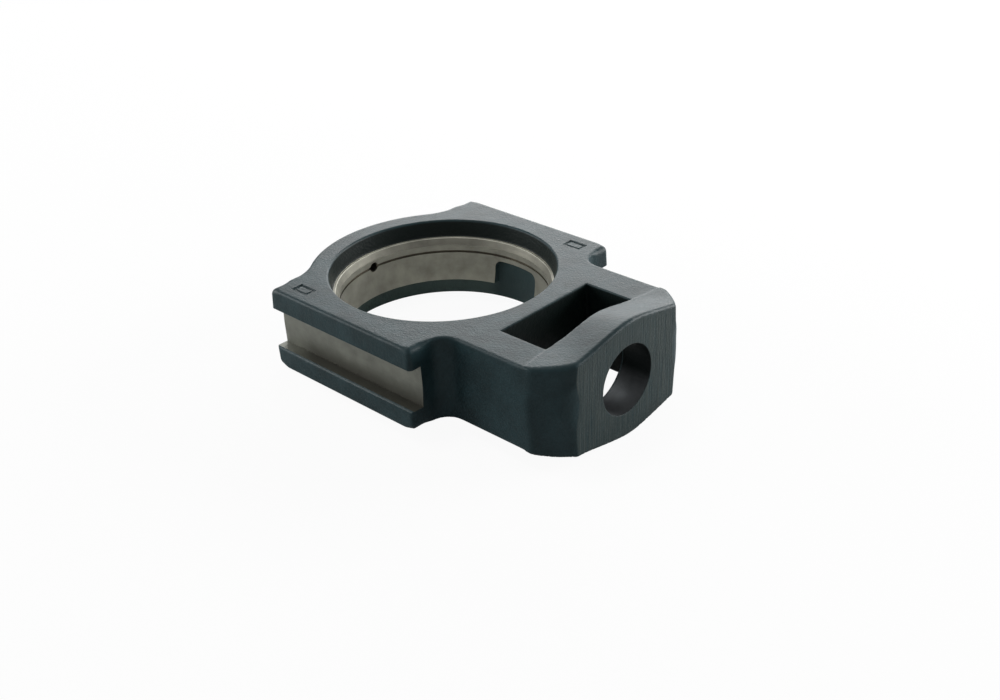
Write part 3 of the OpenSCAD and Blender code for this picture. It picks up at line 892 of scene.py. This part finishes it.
def spring_tree():
    """Node tree that winds a round wire into a coil spring from a foot along minus X."""
    tree = bpy.data.node_groups.new("wound_spring", "GeometryNodeTree")
    kinds = {
        "Coil radius": "NodeSocketFloat",
        "Wire radius": "NodeSocketFloat",
        "Turns": "NodeSocketFloat",
        "Length": "NodeSocketFloat",
        "Foot": "NodeSocketVector",
        "Material": "NodeSocketMaterial",
    }
    for name, kind in kinds.items():
        tree.interface.new_socket(name, in_out="INPUT", socket_type=kind)
    tree.interface.new_socket("Geometry", in_out="OUTPUT", socket_type="NodeSocketGeometry")
    add = partial(add_node, tree)
    given = add("NodeGroupInput").outputs
    winding = {
        "Resolution": 32,
        "Rotations": given["Turns"],
        "Start Radius": given["Coil radius"],
        "End Radius": given["Coil radius"],
        "Height": given["Length"],
    }
    coil = add("GeometryNodeCurveSpiral", winding)
    section = add("GeometryNodeCurvePrimitiveCircle", {"Resolution": 12, "Radius": given["Wire radius"]})
    tube = add("GeometryNodeCurveToMesh", {"Curve": coil, "Profile Curve": section, "Fill Caps": True})
    turn = (0, -math.pi / 2, 0)
    laid = add("GeometryNodeTransform", {"Geometry": tube, "Translation": given["Foot"], "Rotation": turn})
    smooth = add("GeometryNodeSetShadeSmooth", {"Geometry": laid})
    real = add("GeometryNodeRealizeInstances", {"Geometry": smooth})
    finish = add("GeometryNodeSetMaterial", {"Geometry": real, "Material": given["Material"]})
    add("NodeGroupOutput", {"Geometry": finish})
    return tree


def nipple_body(n):
    """Thread, hexagon, neck and head, with ball chamber and passage inside, as one closed skin."""
    steps = 96
    angles = np.linspace(0, 2 * math.pi, steps, endpoint=False)
    tip = -NIPPLE_TIP[0] + n.face_x
    foot = n.face_x - NIPPLE_HIGH.x
    flats = n.hex_flats / 2 / np.cos((angles % (math.pi / 3)) - math.pi / 6)
    round_ = np.ones(steps)
    under = n.hex_height + n.neck_height
    grip = under + n.head_radius - n.neck_radius
    shell = []
    for z in np.arange(foot, -n.thread_pitch / 2, n.thread_pitch / 10):
        turn = (z / n.thread_pitch - angles / (2 * math.pi)) % 1
        crest = 1 - np.abs(2 * turn - 1)
        lead = min(1, (z - foot) / n.thread_pitch)
        shell.append((z, n.thread_radius - n.thread_depth * (1 - lead * crest)))
    relief = n.thread_radius - n.thread_depth
    shell.append((-n.thread_pitch / 2, relief * round_))
    shell.append((0, relief * round_))
    # The corners of the hexagon are turned off a little, and more so in its chamfers
    corner, slope = n.hex_flats / 2 * 1.13, 1.6
    for z in (0, n.hex_chamfer, n.hex_height - n.hex_chamfer, n.hex_height):
        away = n.hex_chamfer - min(z, n.hex_height - z)
        shell.append((z, np.minimum(flats, corner - slope * max(away, 0))))
    outside = [
        (n.hex_height, n.neck_radius + 0.25 * MM), (n.hex_height + 0.25 * MM, n.neck_radius),
        (under - 0.1 * MM, n.neck_radius), (under + 0.1 * MM, n.neck_radius + 0.1 * MM),
        (grip - 0.1 * MM, n.head_radius - 0.08 * MM), (grip + 0.05 * MM, n.head_radius),
        (grip + 0.75 * MM, n.head_radius), (grip + 0.95 * MM, n.head_radius - 0.1 * MM),
        (tip - 0.25 * MM, n.tip_radius + 0.14 * MM), (tip - 0.06 * MM, n.tip_radius),
        (tip, n.tip_radius - 0.15 * MM), (tip, n.orifice_radius + 0.1 * MM),
    ]
    seat_top = tip - n.orifice_height
    seat_low = seat_top - n.chamber_radius + n.orifice_radius
    chamber_low = n.face_x - SPRING_HIGH.x - 0.05 * MM
    inside = [
        (tip - 0.1 * MM, n.orifice_radius), (seat_top, n.orifice_radius), (seat_low, n.chamber_radius),
        (chamber_low, n.chamber_radius), (chamber_low, n.passage_radius), (foot, n.passage_radius),
    ]
    shell += [(z, r * round_) for z, r in outside + inside]
    points = [
        (n.face_x - z, r * math.sin(a), NIPPLE_TIP[2] + r * math.cos(a))
        for z, radii in shell
        for r, a in zip(radii, angles)
    ]
    rings = len(shell)
    faces = [
        (i * steps + k, (i + 1) % rings * steps + k, (i + 1) % rings * steps + after, i * steps + after)
        for i in range(rings)
        for k, after in zip(range(steps), [*range(1, steps), 0])
    ]
    return mesh_piece("grease_nipple_body", points, faces)


def nipple_spring(n, wire):
    """Return spring of the ball, wound by a node tree along the nipple's axis."""
    piece = mesh_piece("check_ball_spring", [(0, 0, 0)], [])
    tree = spring_tree()
    winding = piece.modifiers.new("winding", "NODES")
    winding.node_group = tree
    coil = (SPRING_HIGH.z - SPRING_LOW.z) / 2 - n.wire_radius
    values = {
        "Coil radius": coil,
        "Wire radius": n.wire_radius,
        "Turns": float(n.spring_turns),
        "Length": SPRING_HIGH.x - SPRING_LOW.x - 2 * n.wire_radius,
        "Foot": (SPRING_HIGH.x - n.wire_radius, 0, NIPPLE_TIP[2]),
        "Material": wire,
    }
    for item in tree.interface.items_tree:
        if item.in_out == "INPUT" and item.name in values:
            winding[item.identifier] = values[item.name]
    freeze(piece)
    return piece


# Studio

def place_camera(scene, studio):
    """Camera at the photograph's viewing angle."""
    a, e = studio.azimuth, studio.elevation
    back = Vector((math.sin(a) * math.cos(e), -math.cos(a) * math.cos(e), math.sin(e)))
    right = Vector((0, 0, 1)).cross(back).normalized()
    up = back.cross(right)
    turned_right = right * math.cos(studio.roll) + up * math.sin(studio.roll)
    turned_up = up * math.cos(studio.roll) - right * math.sin(studio.roll)
    data = bpy.data.cameras.new("camera")
    data.sensor_fit = "HORIZONTAL"
    data.lens = studio.lens
    data.clip_start = 0.01
    camera = bpy.data.objects.new("camera", data)
    turn = Matrix((turned_right, turned_up, back)).transposed().to_4x4()
    camera.matrix_world = Matrix.Translation(Vector(studio.target) + back * studio.distance) @ turn
    scene.collection.objects.link(camera)
    scene.camera = camera


def lay_floor(scene):
    """Pale floor under the foot of the crown and the round end, on which the housing leans."""
    cast = scene.takeup_casting
    rounding, gap, reach = 0.3 * MM, 0.1 * MM, 6
    front = Vector((cast.nose_end - cast.edge, 0, -cast.crown_radius + rounding))
    back = Vector((-cast.ring_radius + cast.edge, 0, -cast.half_height))
    along = (front - back).normalized()
    side = Vector((0, 1, 0))
    middle = (front + back) / 2 - along.cross(side) * gap
    corners = ((-1, -1), (1, -1), (1, 1), (-1, 1))
    points = [tuple(middle + along * i * reach + side * j * reach) for i, j in corners]
    piece = mesh_piece("studio_floor", points, [(0, 1, 2, 3)])
    piece.data.materials.append(studio_white(scene.takeup_colours.floor))


def light_sky(scene, studio):
    """Even light from all round, white where the camera, metal and glass see it."""
    world = bpy.data.worlds.new("studio_sky")
    world.use_nodes = True
    world.node_tree.nodes.clear()
    add = partial(add_node, world.node_tree)
    ray = add("ShaderNodeLightPath").outputs
    direct, glossy, through = ray["Is Camera Ray"], ray["Is Glossy Ray"], ray["Is Transmission Ray"]
    outright = add("ShaderNodeMath", {0: direct, 1: glossy}, operation="ADD")
    seen = add("ShaderNodeMath", {0: outright, 1: through}, operation="ADD", use_clamp=True)
    strength = add("ShaderNodeMapRange", {"Value": seen, "To Min": studio.sky, "To Max": 1.0})
    light = add("ShaderNodeBackground", {"Color": (1, 1, 1, 1), "Strength": strength})
    add("ShaderNodeOutputWorld", {"Surface": light})
    scene.world = world


def hang_softbox(name, place, target, width, height, power):
    """Rectangular soft light that faces the object."""
    data = bpy.data.lights.new(name, "AREA")
    data.shape = "RECTANGLE"
    data.size = width
    data.size_y = height
    data.energy = power
    lamp = bpy.data.objects.new(name, data)
    turn = (place - target).to_track_quat("Z", "Y").to_matrix().to_4x4()
    lamp.matrix_world = Matrix.Translation(place) @ turn
    bpy.context.scene.collection.objects.link(lamp)


# Operators and panel

class TAKEUP_OT_cast_housing(bpy.types.Operator):
    """Casts the housing, then turns its seat, mills its grooves and drills it"""

    bl_idname = "takeup.cast_housing"
    bl_label = "Cast housing"

    def execute(self, context):
        """Draws the casting from its distance field, takes the cores out and cuts the machined faces."""
        cast = context.scene.takeup_casting
        work = context.scene.takeup_machined
        colours = context.scene.takeup_colours

        def field(x, y, z):
            return casting_field(cast, x, y, z)

        points, faces = net_surface(field, HOUSING_LOW, HOUSING_HIGH, cast.cell)
        piece = mesh_piece("housing_casting", settle_on(field, points, cast.cell), faces)
        paint, bounce_lit = painted_finishes(cast, colours)
        turned, coarse, milled, bored, grease_and_shade = machined_finishes(cast, work, colours)
        piece.data.materials.append(paint)
        cores = [screw_core(cast), rim_core(cast, work, 1)]
        # The lower rim and the notches take the lighter coat of painted bounce light
        bounce_lit_cores = [rim_core(cast, work, -1)]
        grooves = []
        for side in (-1, 1):
            cores += [mark_core(cast, side), groove_core(cast, work, side)]
            bounce_lit_cores.append(notch_core(cast, side))
            grooves.append(groove_cutter(cast, work, side))
        spot, drill = hole_drills(cast, work)
        finishes = {
            paint: cores,
            bounce_lit: bounce_lit_cores,
            bored: [screw_bore(cast)],
            turned: [seat_tool(work), ledge_tool(cast, work), spot],
            coarse: [lead_in_tool(work)],
            grease_and_shade: [oil_groove_tool(work), drill],
            milled: grooves,
        }
        for finish, tools in finishes.items():
            for tool in tools:
                tool.data.materials.append(finish)
            cut_away(piece, tools)
        piece.data.set_sharp_from_angle(angle=math.radians(32))
        crisp_between_finishes(piece)
        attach(piece, "housing")
        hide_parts("housing")
        return {"FINISHED"}


class TAKEUP_OT_fit_nipple(bpy.types.Operator):
    """Screws the grease nipple into the ring, with its ball and spring"""

    bl_idname = "takeup.fit_nipple"
    bl_label = "Fit grease nipple"

    def execute(self, context):
        """Makes the nipple body and its spring, and finishes the ball."""
        n = context.scene.takeup_nipple
        colours = context.scene.takeup_colours
        body = nipple_body(n)
        body.data.materials.append(plated_steel("zinc_plated_steel", colours.zinc, 0.32, 1.5 * MM))
        body.data.set_sharp_from_angle(angle=math.radians(28))
        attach(body, "housing")
        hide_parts("nipple_body")

        wire = plated_steel("drawn_spring_steel", colours.spring_steel, 0.3, 0.4 * MM)
        spring = nipple_spring(n, wire)
        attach(spring, "housing")
        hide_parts("nipple_spring")
        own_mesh(spring)

        ball = frame["nodes"]["nipple_ball"]
        ball.data.materials.clear()
        ball.data.materials.append(plated_steel("polished_ball_steel", colours.ball_steel, 0.12, 1 * MM))
        return {"FINISHED"}


class TAKEUP_OT_set_studio(bpy.types.Operator):
    """Sets the camera, the floor and the soft lights"""

    bl_idname = "takeup.set_studio"
    bl_label = "Set studio"

    def execute(self, context):
        """Places the camera and the studio round the finished object."""
        studio = context.scene.takeup_studio
        place_camera(context.scene, studio)
        lay_floor(context.scene)
        light_sky(context.scene, studio)
        target = Vector((0.02, 0, 0))
        # Place, width, height and power of each softbox
        boxes = {
            "back_softbox": ((-0.52, 0.9, 0.38), 1.1, 0.56, studio.back_light),
            "left_softbox": ((-1.25, -0.95, 0.42), 1.2, 0.75, studio.left_light),
            "top_softbox": ((-0.27, -0.15, 1.15), 0.3, 0.3, studio.top_light),
            "side_softbox": ((0.66, 1.02, 0.29), 0.7, 0.45, studio.side_light),
        }
        for name, (place, width, height, power) in boxes.items():
            hang_softbox(name, Vector(place), target, width, height, power)
        context.scene.view_settings.view_transform = "Standard"
        return {"FINISHED"}


class TAKEUP_PT_sidebar(bpy.types.Panel):
    """Pieces and sizes of the take-up housing"""

    bl_idname = "TAKEUP_PT_sidebar"
    bl_label = "Take-up housing"
    bl_space_type = "VIEW_3D"
    bl_region_type = "UI"
    bl_category = "Take-up"

    def draw(self, context):
        """Lists the operators, then the sizes and colours."""
        for operator in OPERATORS:
            self.layout.operator(operator.bl_idname)
        for attribute, group in SETTINGS.items():
            box = self.layout.box()
            box.label(text=group.__doc__)
            for name in group.__annotations__:
                box.prop(getattr(context.scene, attribute), name)


OPERATORS = (TAKEUP_OT_cast_housing, TAKEUP_OT_fit_nipple, TAKEUP_OT_set_studio)
SETTINGS = {
    "takeup_casting": CastingSizes,
    "takeup_machined": MachinedSizes,
    "takeup_nipple": NippleSizes,
    "takeup_colours": FinishColours,
    "takeup_studio": StudioSettings,
}


def register():
    """Registers the settings, the operators and the panel."""
    for attribute, group in SETTINGS.items():
        bpy.utils.register_class(group)
        setattr(bpy.types.Scene, attribute, PointerProperty(type=group))
    for operator in OPERATORS:
        bpy.utils.register_class(operator)
    bpy.utils.register_class(TAKEUP_PT_sidebar)


def unregister():
    """Removes what register added."""
    bpy.utils.unregister_class(TAKEUP_PT_sidebar)
    for operator in reversed(OPERATORS):
        bpy.utils.unregister_class(operator)
    for attribute, group in reversed(SETTINGS.items()):
        delattr(bpy.types.Scene, attribute)
        bpy.utils.unregister_class(group)


def main():
    """Builds the pieces and the studio."""
    register()
    bpy.ops.takeup.cast_housing()
    bpy.ops.takeup.fit_nipple()
    bpy.ops.takeup.set_studio()


if __name__ == "__main__":
    main()
